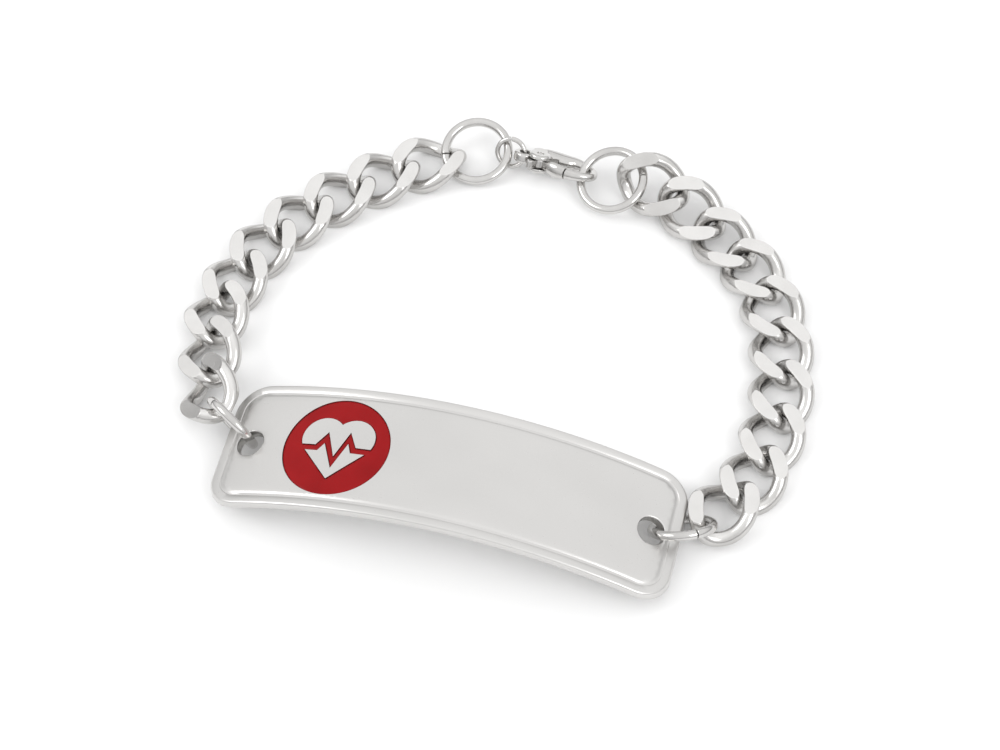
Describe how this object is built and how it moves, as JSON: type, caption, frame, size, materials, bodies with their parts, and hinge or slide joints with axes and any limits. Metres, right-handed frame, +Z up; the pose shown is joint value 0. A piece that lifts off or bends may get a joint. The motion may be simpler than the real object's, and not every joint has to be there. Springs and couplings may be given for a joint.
{
  "type": "medical alert bracelet",
  "caption": "Closed steel identity bracelet lying flat: arched plate with red enamel badge, curb chain with ground links, jump rings and a lobster clasp",
  "frame": {"origin": "middle of the bracelet's bounding box, on the flat surface that it lies on", "axes": "+X runs along the identity plate, +Y from the plate across the wrist opening to the clasp, +Z up off the surface"},
  "size_m": [0.0676, 0.0554, 0.0082],
  "materials": {
    "satin_steel": "satin, finely brushed along the plate",
    "polished_steel": "polished",
    "red_enamel": "glossy enamel filled level with the plate"
  },
  "bodies": {
    "bracelet": {"id_plate": "satin_steel", "enamel_badge": "red_enamel", "left_plate_ring": "polished_steel", "right_plate_ring": "polished_steel", "left_link_1": "polished_steel", "left_link_2": "polished_steel", "left_link_3": "polished_steel", "left_link_4": "polished_steel", "left_link_5": "polished_steel", "left_link_6": "polished_steel", "left_link_7": "polished_steel", "left_link_8": "polished_steel", "left_link_9": "polished_steel", "right_link_1": "polished_steel", "right_link_2": "polished_steel", "right_link_3": "polished_steel", "right_link_4": "polished_steel", "right_link_5": "polished_steel", "right_link_6": "polished_steel", "right_link_7": "polished_steel", "right_link_8": "polished_steel", "right_link_9": "polished_steel", "right_link_10": "polished_steel", "left_clasp_ring": "polished_steel", "right_clasp_ring": "polished_steel", "eye_ring": "polished_steel", "clasp_body": "polished_steel", "lever_pin": "polished_steel"},
    "lever": {"clasp_lever": "polished_steel"}
  },
  "joints": [
    {"name": "lever_hinge", "type": "hinge", "parent": "bracelet", "child": "lever", "pos_m": [-0.00168, 0.02367, 0.0022], "axis": [0.0636, 0.5634, 0.8237], "range_deg": [0, 30], "stiffness_Nm_per_rad": 0.001, "springref_deg": -17.19}
  ]
}
